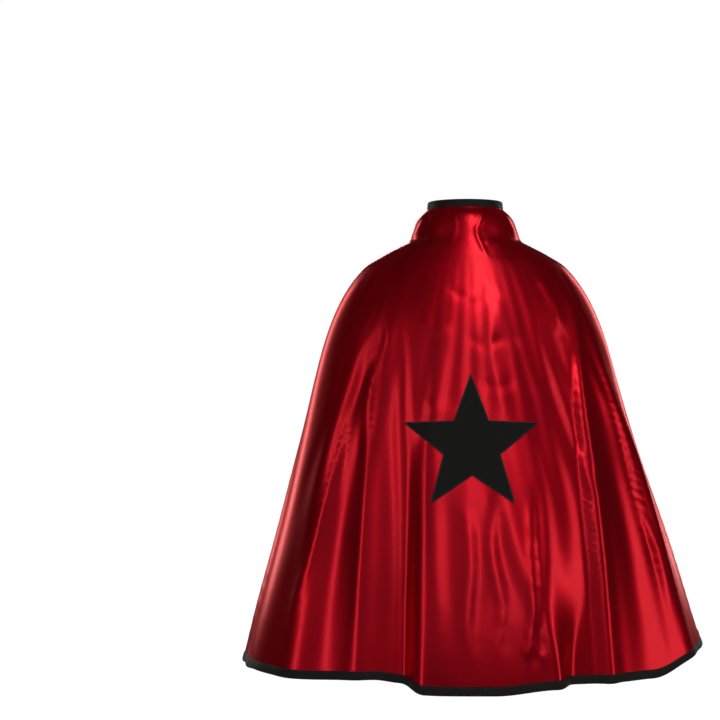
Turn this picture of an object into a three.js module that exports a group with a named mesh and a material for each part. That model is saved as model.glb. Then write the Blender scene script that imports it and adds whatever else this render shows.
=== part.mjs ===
// A child's reversible superhero cape: satin on both faces, a stand collar closed at the throat
// by a hook and loop tab, dark binding on every edge, and an applied emblem on each face.
// Millimetres, +Z up. The wearer faces +Y, so the back of the cape faces -Y. The origin is the
// middle of the neck opening at the height of the neck seam, where the wearer's neck holds it.
import * as THREE from 'three';

// ---- Driving dimensions, mm and degrees ----
const HALF_TURN = Math.PI;
const QUARTER_TURN = Math.PI / 2;
const radians = THREE.MathUtils.degToRad;

// Each drape row is half width, half depth at the back, height. The rows run down the cape.
const DRAPE_ROWS = [
  [85, 68, -2], [118, 80, -16], [141, 88, -31], [163, 97, -60], [196, 114, -135],
  [226, 138, -252], [272, 178, -415], [316, 218, -573],
];
const COLLAR_ROWS = [[50, 50, 58], [54, 53, 49], [63, 58, 40], [70, 62, 26], [76, 65, 4]];
const FRONT_DEPTH_LOSS = 0.2;      // how much shallower the front hangs than the back, at the hem
const THROAT_ANGLE = radians(172); // centre back to front edge, at the neck
const HEM_ANGLE = radians(155);    // the same at the hem, where the front stands open
const SIDE_ANGLE = QUARTER_TURN;   // centre back to the line where each front panel swings
const SWING_TOP = -74;             // height at which the fronts start to swing free
const SWING_CLEARANCE = 1.5;       // half of the gap left along that line
const FOLDS = 7;                   // folds around a full turn
const FOLD_HEIGHT = 9;             // crest of a fold at the hem, above the mean surface
const FOLD_GROWTH = 4;             // folds fade out this fast up the cape

// Layers, as distances from the middle of the cape's thickness; outward is positive.
const SATIN = [0.9, 1.7];
const LINING = [-1.7, -0.9];
const INTERFACING = [-0.4, 0.4];
const STAR_LAYER = [3.0, 3.8];
const BADGE_FIELD_LAYER = [-4.0, -3.2];
const BADGE_TOP_LAYER = [-5.4, -4.6];
const LOOP_LAYER = [2.3, 2.9];
const HOOK_LAYER = [3.4, 4.1];
const TAB_LAYER = [4.6, 5.4];
const LABEL_LAYER = [-7.0, -6.4];

// Binding tape: a channel folded over the raw edge.
const BINDING_WIDTH = 9.5;
const BINDING_INSIDE = 2.8;
const BINDING_OUTSIDE = 3.6;
const EDGE_GAP = 0.4;
const BINDING_TURN = 1.2;          // how far the fold of the tape stands beyond the raw edge
const CORNER_GAP = 1.5;

// Emblems and small parts
const EMBLEM_HEIGHT = -272;
const STAR_RADIUS = 92;
const STAR_WAIST = 0.42;           // inner points of a star, as a share of its outer radius
const BADGE_RADIUS = 84;
const BADGE_RIM = 10;
const BADGE_STAR_RADIUS = 58;
const TAB_ROOT_ANGLE = radians(196);
const TAB_TIP_ANGLE = radians(139);
const PATCH_ANGLES = [radians(141), radians(161)];
const TAB_SPAN = [0.38, 0.82];     // top and bottom of the tab, as shares of the collar's height
const PATCH_SPAN = [0.44, 0.76];
const LABEL_WIDTH = 36;
const LABEL_SPAN = [0.012, 0.085];

// Grid steps
const BACK_COLUMNS = 24;
const FRONT_COLUMNS = 8;
const DRAPE_STEPS = 12;
const SHOULDER_STEPS = 4;
const FRONT_STEPS = 10;
const COLLAR_COLUMNS = 28;
const COLLAR_STEPS = 5;

// Colours
const RED = 0x9c0a18;
const BLUE = 0x1f2a8c;
const BLACK = 0x0b0b0e;
const YELLOW = 0xd9b52a;
const FOIL = 0x8c0018;
const WHITE = 0xe8e6e0;

// ---- The cape's middle surface ----
const rowCurve = (rows) => new THREE.CatmullRomCurve3(rows.map((r) => new THREE.Vector3(...r)), false, 'centripetal');
const drapeCurve = rowCurve(DRAPE_ROWS);
const collarCurve = rowCurve(COLLAR_ROWS);

function drapePoint(angle, share) {
  const row = drapeCurve.getPointAt(share);
  const fold = FOLD_HEIGHT * share ** FOLD_GROWTH * Math.cos(FOLDS * angle);
  const frontness = Math.max(0, -Math.cos(angle));
  const depth = row.y * (1 - FRONT_DEPTH_LOSS * share * frontness) + fold;
  return new THREE.Vector3((row.x + fold) * Math.sin(angle), -depth * Math.cos(angle), row.z);
}

function collarPoint(angle, share) {
  const row = collarCurve.getPointAt(share);
  return new THREE.Vector3(row.x * Math.sin(angle), -row.y * Math.cos(angle), row.z);
}

// Tangents and outward normal at a place on a surface.
function frameAt(surface, angle, share) {
  const step = 1e-3;
  const low = Math.max(0, share - step);
  const high = Math.min(1, share + step);
  const around = surface(angle + step, share).sub(surface(angle - step, share)).normalize();
  const down = surface(angle, high).sub(surface(angle, low)).normalize();
  const normal = new THREE.Vector3().crossVectors(down, around).normalize();
  return { around, down, normal };
}

function raised(surface, angle, share, distance) {
  return surface(angle, share).addScaledVector(frameAt(surface, angle, share).normal, distance);
}

// Share of the drape's length at which it passes a height.
function shareAtHeight(height) {
  let low = 0;
  let high = 1;
  for (let i = 0; i < 40; i++) {
    const middle = (low + high) / 2;
    if (drapeCurve.getPointAt(middle).z > height) low = middle;
    else high = middle;
  }
  return (low + high) / 2;
}

const frontAngle = (share) => THREE.MathUtils.lerp(THROAT_ANGLE, HEM_ANGLE, share);
const sideGapAngle = (share) => SWING_CLEARANCE / drapeCurve.getPointAt(share).x;
const swingShare = shareAtHeight(SWING_TOP);
const clearanceShare = SWING_CLEARANCE / drapeCurve.getLength();

// ---- Closed solids ----
function signedVolume(points, faces) {
  const cross = new THREE.Vector3();
  let total = 0;
  for (const [a, b, c] of faces) {
    total += points[a].dot(cross.crossVectors(points[b], points[c])) / 6;
  }
  return total;
}

function closedGeometry(points, faces) {
  const outward = signedVolume(points, faces) > 0;
  const geometry = new THREE.BufferGeometry();
  geometry.setAttribute('position', new THREE.Float32BufferAttribute(points.flatMap((p) => p.toArray()), 3));
  geometry.setIndex(faces.flatMap(([a, b, c]) => (outward ? [a, b, c] : [a, c, b])));
  geometry.computeVertexNormals();
  return geometry;
}

// A sheet of cloth: pointAt(u, v, side) gives its far side (0) and near side (1) over a grid.
// A looped sheet closes on itself along u.
function sheetGeometry(pointAt, columns, rows, looped = false) {
  const points = [];
  const faces = [];
  const across = looped ? columns : columns + 1;
  const index = (side, i, j) => (side * (rows + 1) + j) * across + (i % across);
  for (let side = 0; side < 2; side++) {
    for (let j = 0; j <= rows; j++) {
      for (let i = 0; i < across; i++) points.push(pointAt(i / columns, j / rows, side));
    }
  }
  const quad = (a, b, c, d) => faces.push([a, b, c], [a, c, d]);
  for (let j = 0; j < rows; j++) {
    for (let i = 0; i < columns; i++) {
      quad(index(0, i, j), index(0, i, j + 1), index(0, i + 1, j + 1), index(0, i + 1, j));
      quad(index(1, i, j), index(1, i + 1, j), index(1, i + 1, j + 1), index(1, i, j + 1));
    }
    if (!looped) {
      quad(index(0, 0, j), index(1, 0, j), index(1, 0, j + 1), index(0, 0, j + 1));
      quad(index(0, columns, j), index(0, columns, j + 1), index(1, columns, j + 1), index(1, columns, j));
    }
  }
  for (let i = 0; i < columns; i++) {
    quad(index(0, i, 0), index(0, i + 1, 0), index(1, i + 1, 0), index(1, i, 0));
    quad(index(0, i, rows), index(1, i, rows), index(1, i + 1, rows), index(0, i + 1, rows));
  }
  return closedGeometry(points, faces);
}

// A patch with a middle point: pointAt(turn, reach, side) with reach from 0 at the middle to 1.
function patchGeometry(pointAt, segments, rings) {
  const points = [];
  const faces = [];
  const stride = 1 + segments * rings;
  const index = (side, i, ring) => side * stride + (ring === 0 ? 0 : 1 + (ring - 1) * segments + (i % segments));
  for (let side = 0; side < 2; side++) {
    points.push(pointAt(0, 0, side));
    for (let ring = 1; ring <= rings; ring++) {
      for (let i = 0; i < segments; i++) points.push(pointAt(i / segments, ring / rings, side));
    }
  }
  for (let i = 0; i < segments; i++) {
    faces.push([index(0, 0, 0), index(0, i, 1), index(0, i + 1, 1)]);
    faces.push([index(1, 0, 0), index(1, i + 1, 1), index(1, i, 1)]);
    for (let ring = 1; ring < rings; ring++) {
      faces.push([index(0, i, ring), index(0, i, ring + 1), index(0, i + 1, ring + 1)]);
      faces.push([index(0, i, ring), index(0, i + 1, ring + 1), index(0, i + 1, ring)]);
      faces.push([index(1, i, ring), index(1, i + 1, ring + 1), index(1, i, ring + 1)]);
      faces.push([index(1, i, ring), index(1, i + 1, ring), index(1, i + 1, ring + 1)]);
    }
    faces.push([index(0, i, rings), index(1, i, rings), index(1, i + 1, rings)]);
    faces.push([index(0, i, rings), index(1, i + 1, rings), index(0, i + 1, rings)]);
  }
  return closedGeometry(points, faces);
}

// A tape folded over an edge: placeAt(t) gives the edge's point, the way into the cloth, and
// the cloth's normal there.
const TAPE_SECTION = [
  [-BINDING_OUTSIDE, -BINDING_TURN], [BINDING_OUTSIDE, -BINDING_TURN],
  [BINDING_OUTSIDE, BINDING_WIDTH], [BINDING_INSIDE, BINDING_WIDTH],
  [BINDING_INSIDE, -EDGE_GAP], [-BINDING_INSIDE, -EDGE_GAP],
  [-BINDING_INSIDE, BINDING_WIDTH], [-BINDING_OUTSIDE, BINDING_WIDTH],
];

function tapeGeometry(placeAt, steps) {
  const count = TAPE_SECTION.length;
  const points = [];
  const faces = [];
  for (let j = 0; j <= steps; j++) {
    const { point, inward, normal } = placeAt(j / steps);
    for (const [across, into] of TAPE_SECTION) {
      points.push(point.clone().addScaledVector(normal, across).addScaledVector(inward, into));
    }
  }
  for (let j = 0; j < steps; j++) {
    for (let i = 0; i < count; i++) {
      const next = (i + 1) % count;
      const a = j * count + i;
      const b = j * count + next;
      faces.push([a, b, b + count], [a, b + count, a + count]);
    }
  }
  const outline = TAPE_SECTION.map(([x, y]) => new THREE.Vector2(x, y));
  const last = steps * count;
  for (const [a, b, c] of THREE.ShapeUtils.triangulateShape(outline, [])) {
    faces.push([a, c, b], [last + a, last + b, last + c]);
  }
  return closedGeometry(points, faces);
}

// ---- Assembly ----
const group = new THREE.Group();

function addPart(name, geometry, color, roughness, metalness = 0) {
  const mesh = new THREE.Mesh(geometry, new THREE.MeshStandardMaterial({ color, roughness, metalness }));
  mesh.name = name;
  group.add(mesh);
}

const clothStyle = (color) => [color, 0.35];
const SIDES = [['left', -1], ['right', 1]];

// A panel between two lines down the drape, on one layer.
function panel(startAngle, endAngle, topShare, bottomShare, layer, columns, rows) {
  const pointAt = (u, v, side) => {
    const share = THREE.MathUtils.lerp(topShare, bottomShare, v);
    const angle = THREE.MathUtils.lerp(startAngle(share), endAngle(share), u);
    return raised(drapePoint, angle, share, layer[side]);
  };
  return sheetGeometry(pointAt, columns, rows);
}

function addBackPanels() {
  const edge = (share) => SIDE_ANGLE - sideGapAngle(share);
  const start = (share) => -edge(share);
  addPart('back_panel', panel(start, edge, 0, 1, SATIN, BACK_COLUMNS, DRAPE_STEPS), ...clothStyle(RED));
  addPart('back_lining', panel(start, edge, 0, 1, LINING, BACK_COLUMNS, DRAPE_STEPS), ...clothStyle(BLUE));
}

function addSidePanels(side, sign) {
  const inner = (share) => sign * (SIDE_ANGLE + sideGapAngle(share));
  const outer = (share) => sign * frontAngle(share);
  const top = swingShare - clearanceShare;
  const bottom = swingShare + clearanceShare;
  for (const [face, layer, color] of [['panel', SATIN, RED], ['lining', LINING, BLUE]]) {
    const shoulder = panel(inner, outer, 0, top, layer, FRONT_COLUMNS, SHOULDER_STEPS);
    const front = panel(inner, outer, bottom, 1, layer, FRONT_COLUMNS, FRONT_STEPS);
    addPart(`${side}_shoulder_${face}`, shoulder, ...clothStyle(color));
    addPart(`${side}_front_${face}`, front, ...clothStyle(color));
  }
}

function collarSheet(startAngle, endAngle, topShare, bottomShare, layer, columns, rows) {
  const pointAt = (u, v, side) => {
    const share = THREE.MathUtils.lerp(topShare, bottomShare, v);
    return raised(collarPoint, THREE.MathUtils.lerp(startAngle, endAngle, u), share, layer[side]);
  };
  return sheetGeometry(pointAt, columns, rows);
}

function addCollar() {
  const layers = [
    ['collar_panel', SATIN, RED], ['collar_interfacing', INTERFACING, WHITE], ['collar_lining', LINING, BLUE],
  ];
  for (const [name, layer, color] of layers) {
    const sheet = collarSheet(-THROAT_ANGLE, THROAT_ANGLE, 0, 1, layer, COLLAR_COLUMNS, COLLAR_STEPS);
    addPart(name, sheet, ...clothStyle(color));
  }
}

// Binding along a level edge, between two angles. The tape's sides lie along the cloth's first
// row of facets, which is rowShare long.
function levelBinding(surface, startAngle, endAngle, share, rowShare, steps) {
  return tapeGeometry((t) => {
    const angle = THREE.MathUtils.lerp(startAngle, endAngle, t);
    const point = surface(angle, share);
    const inward = surface(angle, share + rowShare).sub(point).normalize();
    return { point, inward, normal: frameAt(surface, angle, share).normal };
  }, steps);
}

// Binding along a front edge, between two shares of the length. The tape's sides lie along the
// cloth's first column of facets, which is columnAngle wide.
function frontBinding(surface, edgeAngle, columnAngle, topShare, bottomShare, sign, steps) {
  return tapeGeometry((t) => {
    const share = THREE.MathUtils.lerp(topShare, bottomShare, t);
    const point = surface(sign * edgeAngle(share), share);
    const inward = surface(sign * (edgeAngle(share) - columnAngle), share).sub(point).normalize();
    return { point, inward, normal: frameAt(surface, sign * edgeAngle(share), share).normal };
  }, steps);
}

function addBindings() {
  const topBinding = levelBinding(collarPoint, -THROAT_ANGLE, THROAT_ANGLE, 0, 1 / COLLAR_STEPS, COLLAR_COLUMNS);
  addPart('collar_top_binding', topBinding, BLACK, 0.6);
  const backEdge = SIDE_ANGLE - sideGapAngle(1);
  const backHem = levelBinding(drapePoint, -backEdge, backEdge, 1, -1 / DRAPE_STEPS, BACK_COLUMNS);
  addPart('back_hem_binding', backHem, BLACK, 0.6);

  const length = drapeCurve.getLength();
  const corner = (BINDING_WIDTH + CORNER_GAP) / length;
  const collarCorner = (BINDING_WIDTH + CORNER_GAP) / collarCurve.getLength();
  const frontRow = (1 - swingShare) / FRONT_STEPS;
  const frontColumn = (HEM_ANGLE - SIDE_ANGLE) / FRONT_COLUMNS;
  for (const [side, sign] of SIDES) {
    const sideAngle = sign * (SIDE_ANGLE + sideGapAngle(1));
    const hem = levelBinding(drapePoint, sideAngle, sign * HEM_ANGLE, 1, -frontRow, FRONT_COLUMNS);
    const collarEnd = frontBinding(
      collarPoint, () => THROAT_ANGLE, 2 * THROAT_ANGLE / COLLAR_COLUMNS, collarCorner, 1, sign, COLLAR_STEPS,
    );
    const shoulder = frontBinding(
      drapePoint, frontAngle, frontColumn, CORNER_GAP / length, swingShare - clearanceShare, sign, SHOULDER_STEPS,
    );
    const front = frontBinding(
      drapePoint, frontAngle, frontColumn, swingShare + clearanceShare, 1 - corner, sign, FRONT_STEPS,
    );
    addPart(`${side}_hem_binding`, hem, BLACK, 0.6);
    addPart(`${side}_collar_end_binding`, collarEnd, BLACK, 0.6);
    addPart(`${side}_shoulder_binding`, shoulder, BLACK, 0.6);
    addPart(`${side}_front_binding`, front, BLACK, 0.6);
  }
}

// A place on the back, given across and up from the emblems' middle.
function backPlace(across, up, distance) {
  const share = shareAtHeight(EMBLEM_HEIGHT + up);
  const angle = Math.asin(across / drapeCurve.getPointAt(share).x);
  return raised(drapePoint, angle, share, distance);
}

// Reach of a five-pointed star's straight-sided outline at a turn from its top point.
function starReach(turn) {
  const sector = HALF_TURN / 5;
  const angle = turn * 2 * HALF_TURN;
  const nearest = Math.abs(((angle + sector) % (2 * sector)) - sector);
  const tip = new THREE.Vector2(1, 0);
  const waist = new THREE.Vector2(STAR_WAIST * Math.cos(sector), STAR_WAIST * Math.sin(sector));
  const side = waist.clone().sub(tip);
  return tip.cross(side) / new THREE.Vector2(Math.cos(nearest), Math.sin(nearest)).cross(side);
}

function flatPatch(reachAt, radius, layer, segments, rings) {
  return patchGeometry((turn, reach, side) => {
    const angle = turn * 2 * HALF_TURN;
    const distance = radius * reach * reachAt(turn);
    return backPlace(distance * Math.sin(angle), distance * Math.cos(angle), layer[side]);
  }, segments, rings);
}

function badgeRim() {
  return sheetGeometry((u, v, side) => {
    const angle = u * 2 * HALF_TURN;
    const distance = BADGE_RADIUS - BADGE_RIM * v;
    return backPlace(distance * Math.sin(angle), distance * Math.cos(angle), BADGE_TOP_LAYER[side]);
  }, 30, 1, true);
}

function addEmblems() {
  addPart('star_emblem', flatPatch(starReach, STAR_RADIUS, STAR_LAYER, 30, 4), BLACK, 0.7);
  addPart('badge_field', flatPatch(() => 1, BADGE_RADIUS, BADGE_FIELD_LAYER, 30, 3), YELLOW, 0.5);
  addPart('badge_rim', badgeRim(), FOIL, 0.2, 0.6);
  addPart('badge_star', flatPatch(starReach, BADGE_STAR_RADIUS, BADGE_TOP_LAYER, 20, 2), FOIL, 0.2, 0.6);
}

function addClosure() {
  const tab = collarSheet(TAB_ROOT_ANGLE, TAB_TIP_ANGLE, ...TAB_SPAN, TAB_LAYER, 6, 3);
  const hooks = collarSheet(...PATCH_ANGLES, ...PATCH_SPAN, HOOK_LAYER, 3, 2);
  const loops = collarSheet(...PATCH_ANGLES, ...PATCH_SPAN, LOOP_LAYER, 3, 2);
  addPart('closure_tab', tab, ...clothStyle(RED));
  addPart('hook_patch', hooks, BLACK, 0.9);
  addPart('loop_patch', loops, BLACK, 0.9);
}

function addLabel() {
  const half = LABEL_WIDTH / 2;
  const label = sheetGeometry((u, v, side) => {
    const share = THREE.MathUtils.lerp(...LABEL_SPAN, v);
    const angle = THREE.MathUtils.lerp(-half, half, u) / drapeCurve.getPointAt(share).x;
    return raised(drapePoint, angle, share, LABEL_LAYER[side]);
  }, 2, 3);
  addPart('care_label', label, WHITE, 0.6);
}

addBackPanels();
for (const [side, sign] of SIDES) addSidePanels(side, sign);
addCollar();
addBindings();
addEmblems();
addClosure();
addLabel();

export default group;
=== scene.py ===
"""A child's reversible superhero cape: two satin faces, a stand collar, bias binding round every
edge, an applied emblem on each face and a hook and loop tab at the throat."""

import math

import bpy
import numpy as np
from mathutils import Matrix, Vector
from mathutils.bvhtree import BVHTree


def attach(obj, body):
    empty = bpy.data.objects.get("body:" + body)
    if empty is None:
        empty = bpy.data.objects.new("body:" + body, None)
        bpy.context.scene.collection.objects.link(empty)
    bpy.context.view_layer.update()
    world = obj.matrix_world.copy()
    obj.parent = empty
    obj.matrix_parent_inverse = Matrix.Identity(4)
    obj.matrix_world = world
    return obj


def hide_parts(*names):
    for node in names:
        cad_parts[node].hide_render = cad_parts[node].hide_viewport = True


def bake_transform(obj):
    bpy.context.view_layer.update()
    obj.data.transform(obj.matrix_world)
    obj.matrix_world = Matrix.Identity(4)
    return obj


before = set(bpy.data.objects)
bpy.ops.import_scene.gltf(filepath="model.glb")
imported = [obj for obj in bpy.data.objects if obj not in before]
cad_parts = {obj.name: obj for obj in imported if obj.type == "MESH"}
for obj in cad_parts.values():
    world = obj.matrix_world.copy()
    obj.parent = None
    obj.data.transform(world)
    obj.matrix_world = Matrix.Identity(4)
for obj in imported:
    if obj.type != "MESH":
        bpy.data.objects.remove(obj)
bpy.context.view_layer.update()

bl_info = {
    "name": "Reversible Cape",
    "version": (1, 0, 0),
    "blender": (4, 5, 0),
    "location": "3D View > Sidebar > Cape",
    "description": "Makes a reversible satin cape with bound edges and an emblem on each face",
    "category": "Add Mesh",
}

MM = 0.001
ROOT = "cape_back"
SIDES = (("left", -1), ("right", 1))

# ---- The drape ----
# Down the cape: half width, half depth at the back, height, in millimetres.
DRAPE_ROWS = (
    (50, 50, 59.5), (51.5, 51, 50), (60, 57, 42), (67, 61, 33), (71, 64, 22), (74.5, 66, 12), (78, 68, 4.5),
    (89, 69.5, -1.5), (104, 71.5, -9), (118, 74, -17), (141, 80, -32), (163, 91, -60), (181, 102, -94),
    (196, 111, -135), (211, 121, -191), (226, 131, -252), (244, 144, -318), (262, 157, -384),
    (281, 170, -451), (299, 182, -517), (315, 192, -576),
)
ROUND_PLAN = 2.0          # exponent of the plan outline at the neck: a plain ellipse
BOXY_PLAN = 2.5           # and at the hem, where the cloth hangs flatter across the back
FRONT_DEPTH_LOSS = 0.17   # the front hangs shallower than the back, at the hem
THROAT_TURN = math.radians(172)
HEM_TURN = math.radians(160)
COLLAR_SEAM = 4.5         # height of the neck seam, mm
COLUMNS = 220
ROWS = 132

# Folds of the back, in millimetres: place across at the top and at the hem, half width, height,
# and the heights between which the fold grows.
BACK_RIDGES = (
    (-146, -250, 24, 6, -110, -380),
    (-120, -160, 17, 5, -110, -360),
    (140, 166, 13, 8, -60, -220),
    (164, 280, 19, 7, -90, -320),
)
BACK_VALLEYS = (
    (-94, -90, 20, 8, -60, -340),
    (-140, -206, 26, 4, -140, -400),
    (156, 222, 28, 6, -110, -340),
)
# Thin creases in the cloth: points across and up, half width, height (mm; below 0 is a groove).
CREASES = (
    (((15, 50), (19, 34), (12, 16), (18, -4), (29, -26)), 3.4, 1.1),
    (((20, -4), (34, 0), (48, -6)), 3.6, 0.7),
    (((-22, 44), (-18, 20), (-24, -4)), 4.0, 0.8),
    (((-56, 40), (-64, 24), (-72, 8)), 4.0, 1.3),
    (((-50, 46), (-58, 12), (-74, -6)), 4.0, -1.0),
    (((50, 44), (60, 26), (68, 6)), 4.0, 1.4),
    (((74, -330), (76, -400), (76, -480), (68, -530), (58, -570)), 3.6, 2.2),
    (((84, -300), (86, -420), (84, -520), (78, -570)), 6.0, -1.6),
    (((60, -540), (74, -526), (92, -548)), 4.0, 1.6),
    (((-10, -340), (-4, -420), (-12, -500), (-6, -560)), 8.0, 1.6),
    (((34, -310), (24, -400), (34, -480), (22, -560)), 7.0, 1.8),
    (((-46, -330), (-50, -450), (-54, -560)), 12.0, 1.0),
    (((-150, -190), (-178, -300), (-206, -400), (-232, -480), (-247, -566)), 5.0, 2.4),
    (((-122, -130), (-136, -220), (-142, -340), (-150, -460), (-158, -560)), 4.6, 2.4),
    (((148, -110), (146, -200), (150, -300), (156, -420), (166, -560)), 4.4, 2.4),
    (((172, -140), (208, -250), (232, -360), (254, -430), (276, -550)), 4.5, 2.8),
    (((140, -270), (152, -310), (168, -350)), 4.0, 1.8),
    (((186, -170), (224, -330), (262, -500)), 7.0, -1.6),
    (((22, -40), (34, -90), (24, -150), (36, -210), (28, -270)), 12.0, 1.0),
    (((-34, -62), (-6, -76), (22, -70), (50, -86)), 7.0, -0.8),
    (((-10, -128), (18, -140), (46, -132), (76, -146)), 7.0, -0.8),
    (((6, -186), (34, -196), (64, -188)), 7.0, -0.7),
    (((-70, -104), (-44, -120), (-22, -118)), 8.0, 0.7),
    (((-66, -210), (-44, -226), (-14, -224)), 8.0, 0.7),
    (((90, -40), (112, -80), (122, -130)), 7.0, 1.6),
    (((-104, -50), (-112, -100), (-106, -150)), 8.0, 1.4),
)
LOBE = (-91, 105, 15, 26, -180, -575)   # the middle of the back stands proud between two steps
LOBE_RIGHT_EDGE = (85, 12, -330, -570)  # the right step is soft high up and sharp at the hem
# Folds of each front: place between the side (0) and the front edge (1), half width, height,
# and the heights between which the fold grows.
FRONT_RIDGES = (
    (0.12, 24, 9, -110, -420), (0.42, 26, 13, -90, -400), (0.72, 24, 12, -60, -360), (0.98, 16, 6, -40, -300),
)
FRONT_VALLEYS = ((0.27, 22, 8, -110, -420), (0.57, 22, 12, -90, -400), (0.86, 18, 8, -60, -360))

drape = {}   # the draped cloth's grid, filled by its operator and read by every later one


def unit(vectors):
    return vectors / np.linalg.norm(vectors, axis=-1, keepdims=True)


def line_at(wanted, distance, points):
    """Points at the wanted distances along a line of points."""
    return np.stack([np.interp(wanted, distance, column) for column in points.T], axis=1)


def smoothstep(low, high, value):
    t = np.clip((value - low) / (high - low), 0.0, 1.0)
    return t * t * (3 - 2 * t)


def catmull_rom(points, per_span):
    """Points on a smooth curve through the given ones, per_span for each stretch."""
    p = np.array(points, float)
    p = np.vstack([2 * p[0] - p[1], p, 2 * p[-1] - p[-2]])
    t = np.linspace(0, 1, per_span, endpoint=False)[:, None]
    spans = []
    for a, b, c, d in zip(p[:-3], p[1:-2], p[2:-1], p[3:]):
        spans.append(0.5 * (2 * b + (c - a) * t + (2 * a - 5 * b + 4 * c - d) * t**2
                            + (3 * b - a - 3 * c + d) * t**3))
    spans.append(p[-2:-1])
    return np.vstack(spans)


def along(points):
    """Distance along a line of points."""
    return np.concatenate([[0.0], np.cumsum(np.linalg.norm(np.diff(points, axis=0), axis=1))])


def drape_rows():
    """Half width, depth and height of each row of the grid, evenly spaced down the cloth."""
    dense = catmull_rom(DRAPE_ROWS, 24)
    distance = along(dense[:, [0, 2]])
    wanted = np.linspace(0, distance[-1], ROWS + 1)
    return line_at(wanted, distance, dense), wanted


def plan_outline(half_width, depth, share):
    """The cloth's line at one height, without folds, from front edge round the back to front edge."""
    turn_end = THROAT_TURN + (HEM_TURN - THROAT_TURN) * share
    turn = np.linspace(-turn_end, turn_end, 1601)
    power = 2 / (ROUND_PLAN + (BOXY_PLAN - ROUND_PLAN) * smoothstep(0.15, 0.8, share))
    sine, cosine = np.sin(turn), np.cos(turn)
    x = half_width * np.sign(sine) * np.abs(sine) ** power
    frontness = np.maximum(0, -cosine)
    y = -depth * (1 - FRONT_DEPTH_LOSS * share * frontness) * np.sign(cosine) * np.abs(cosine) ** power
    return np.stack([x, y], axis=1)


def ridge(distance, half_width):
    return np.exp(-((distance / half_width) ** 2))


def fold_height(girth, outline_girth, outline, height):
    """How far each place of a row stands out from the plain outline, in millimetres."""
    side_left = outline_girth[np.argmin(outline[:, 0])]
    side_right = outline_girth[np.argmax(outline[:, 0])]
    back = slice(np.argmin(outline[:, 0]), np.argmax(outline[:, 0]) + 1)

    def place(x):
        return np.interp(x, outline[back, 0], outline_girth[back])

    down = np.clip(-height / 576, 0, 1)
    total = np.zeros_like(girth)
    for sign, folds in ((1, BACK_RIDGES), (-1, BACK_VALLEYS)):
        for top, hem, half_width, tall, begins, full in folds:
            centre = place(top + (hem - top) * down)
            grown = smoothstep(-begins, -full, -height)
            total += sign * tall * grown * ridge(girth - centre, half_width * (0.6 + 0.4 * down))
    left, right, edge, tall, begins, full = LOBE
    grown = smoothstep(-begins, -full, -height)
    step_up = smoothstep(-edge, edge, girth - place(left))
    soft, sharp, high, low = LOBE_RIGHT_EDGE
    right_edge = soft + (sharp - soft) * smoothstep(-high, -low, -height)
    step_down = smoothstep(-right_edge, right_edge, place(right) - girth)
    total += tall * grown * step_up * step_down
    for sign, folds in ((1, FRONT_RIDGES), (-1, FRONT_VALLEYS)):
        for at, half_width, tall, begins, full in folds:
            grown = smoothstep(-begins, -full, -height)
            for side, end in ((side_left, outline_girth[0]), (side_right, outline_girth[-1])):
                centre = side + (end - side) * at
                total += sign * tall * grown * ridge(girth - centre, half_width)
    return total


HEM_DROP = 9        # how much lower the middle of the back hangs at the hem, mm
HEM_LIFTS = (        # how much the hem rises, and between which places across it does, mm
    (-8, -300, -325), (5, -225, -140), (-5, -140, -95), (26, 228, 305),
)
DRIFT = 10          # how far the cape leans to the right at the hem


def hem_level(line, height, share):
    """Heights of a row once the hem dips at the middle of the back and lifts at the sides."""
    across = line[:, 0]
    back = smoothstep(-10, 30, -line[:, 1])
    middle = smoothstep(-16, 16, across - LOBE[0]) * smoothstep(-14, 14, LOBE[1] + 2 - across) * back
    middle *= 1 - 0.8 * smoothstep(15, 95, across)
    sides = sum(lift * smoothstep(0, 1, (across - start) / (end - start)) for lift, start, end in HEM_LIFTS)
    return height + share**4 * (sides - HEM_DROP * middle)


def target_grid():
    """The shape that the cloth is hung in before it relaxes: rows by columns of points, metres."""
    rows, length = drape_rows()
    grid = np.zeros((ROWS + 1, COLUMNS + 1, 3))
    for i, (half_width, depth, height) in enumerate(rows):
        share = length[i] / length[-1]
        outline = plan_outline(half_width, depth, share)
        outline_girth = along(outline)
        girth = np.linspace(0, outline_girth[-1], COLUMNS + 1)
        line = line_at(girth, outline_girth, outline)
        tangent = unit(np.gradient(line, axis=0))
        outward = np.stack([tangent[:, 1], -tangent[:, 0]], axis=1)
        line += outward * fold_height(girth, outline_girth, outline, height)[:, None]
        grid[i, :, 2] = hem_level(line, height, share)
        grid[i, :, :2] = line + np.array([DRIFT * smoothstep(150, 450, -height), 0])
    return grid * MM


def crease(grid, normals):
    """Raises the thin creases on the back of the cape."""
    middle = grid[:, :, [0, 2]] / MM
    back = smoothstep(-20, 20, -grid[:, :, 1] / MM)
    raised = np.zeros(grid.shape[:2])
    for points, half_width, tall in CREASES:
        line = catmull_rom(points, 12)
        distance = along(line)
        gap = np.linalg.norm(middle[:, :, None] - line, axis=3)
        nearest = gap.argmin(axis=2)
        at = distance[nearest] / distance[-1]
        fade = smoothstep(0, 0.25, at) * smoothstep(0, 0.3, 1 - at)
        raised += tall * fade * ridge(gap.min(axis=2), half_width)
    return grid + normals * (raised * back)[:, :, None] * MM


def grid_normals(grid):
    down = np.gradient(grid, axis=0)
    across = np.gradient(grid, axis=1)
    return unit(np.cross(down, across))


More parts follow.
